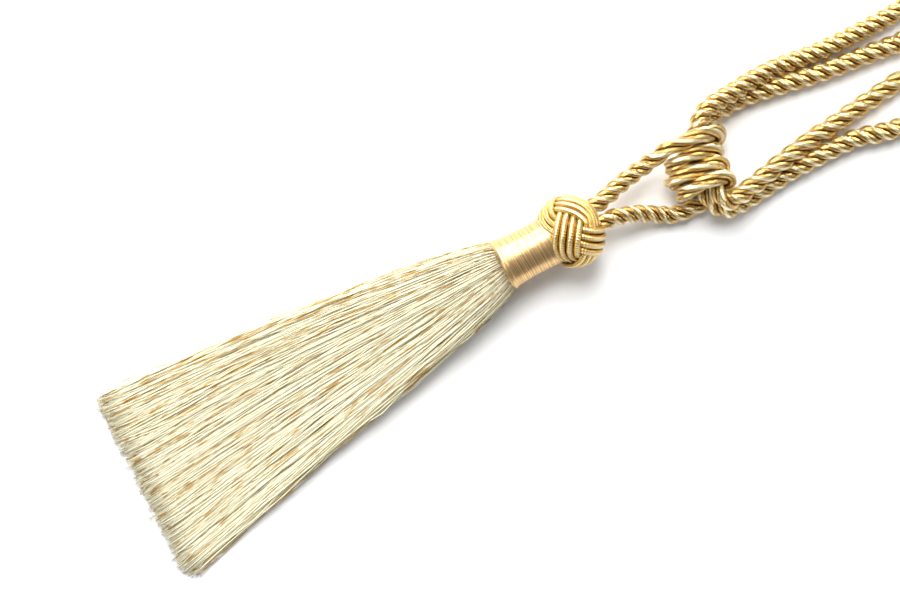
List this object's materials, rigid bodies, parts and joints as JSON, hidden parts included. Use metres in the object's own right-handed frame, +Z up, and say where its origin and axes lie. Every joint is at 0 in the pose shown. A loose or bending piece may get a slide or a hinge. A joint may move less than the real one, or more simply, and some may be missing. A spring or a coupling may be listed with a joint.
{
  "type": "curtain tieback tassel",
  "caption": "Curtain tieback: a fanned yarn tassel with a wound collar and woven knot head, tied by a coiled rope knot to a doubled twisted rope with looped ends.",
  "frame": {"origin": "on the surface the tassel lies on, at the small flat under the middle of the knotted head", "axes": "+X along the tassel's axis from the fringe towards the ropes, +Z up from the surface"},
  "size_m": [0.5584, 0.1111, 0.0338],
  "materials": {
    "fringe_yarn": "twisted satin rayon yarn, pale cream gold",
    "wound_thread": "closely wound satin thread, old gold",
    "plaited_cord": "satin-wrapped cord, gold",
    "twisted_rope": "three-strand laid rope of satin-wrapped yarns, gold"
  },
  "bodies": {
    "root": {"skirt": "fringe_yarn", "collar": "wound_thread", "head": "plaited_cord", "loop_leg_upper": "twisted_rope", "loop_leg_lower": "twisted_rope", "coil_knot": "twisted_rope", "embrace_rope": "twisted_rope"}
  },
  "joints": []
}
